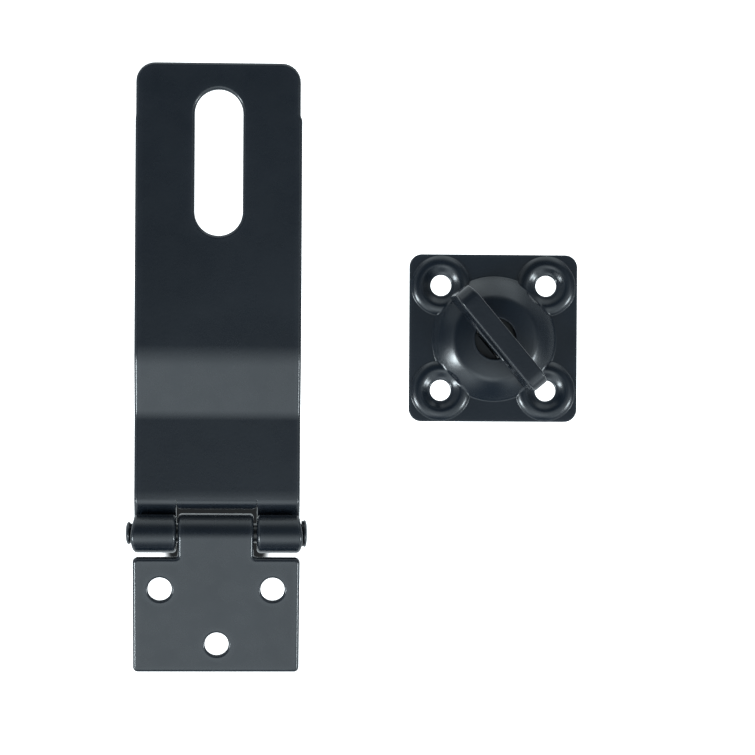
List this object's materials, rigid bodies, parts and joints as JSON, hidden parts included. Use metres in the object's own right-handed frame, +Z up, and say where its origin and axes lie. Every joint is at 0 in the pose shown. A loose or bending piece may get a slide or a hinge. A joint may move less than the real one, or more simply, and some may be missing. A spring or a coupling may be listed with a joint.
{
  "type": "hasp and staple",
  "caption": "Safety hasp with a stepped, slotted strap on a riveted hinge leaf, and a separate domed plate whose padlock staple swivels.",
  "frame": {"origin": "middle of the whole set's footprint, on the resting plane under both halves", "axes": "+Y along the strap towards its slotted tip, +X along the hinge pin towards the staple plate, +Z up out of the staple plate; the leaf hangs from the hinge with its door side up"},
  "size_m": [0.1109, 0.1489, 0.0245],
  "materials": {
    "strap_paint": "satin blue-black powder coat",
    "leaf_paint": "satin blue-black powder coat",
    "pin_paint": "satin blue-black powder coat",
    "plate_paint": "satin blue-black powder coat",
    "staple_paint": "satin blue-black powder coat",
    "washer_paint": "satin blue-black powder coat"
  },
  "bodies": {
    "fixed_halves": {"hinge_leaf": "leaf_paint", "staple_plate": "plate_paint"},
    "strap": {"hasp_strap": "strap_paint", "hinge_pin": "pin_paint"},
    "staple": {"swivel_staple": "staple_paint", "staple_retaining_washer": "washer_paint"}
  },
  "joints": [
    {"name": "strap_fold", "type": "hinge", "parent": "fixed_halves", "child": "strap", "pos_m": [-0.0332, -0.03987, 0.00612], "axis": [1, 0, 0], "range_deg": [-164, 10]},
    {"name": "staple_swivel", "type": "hinge", "parent": "fixed_halves", "child": "staple", "pos_m": [0.0348, 0.00812, 0], "axis": [0, 0, 1], "continuous": true}
  ]
}
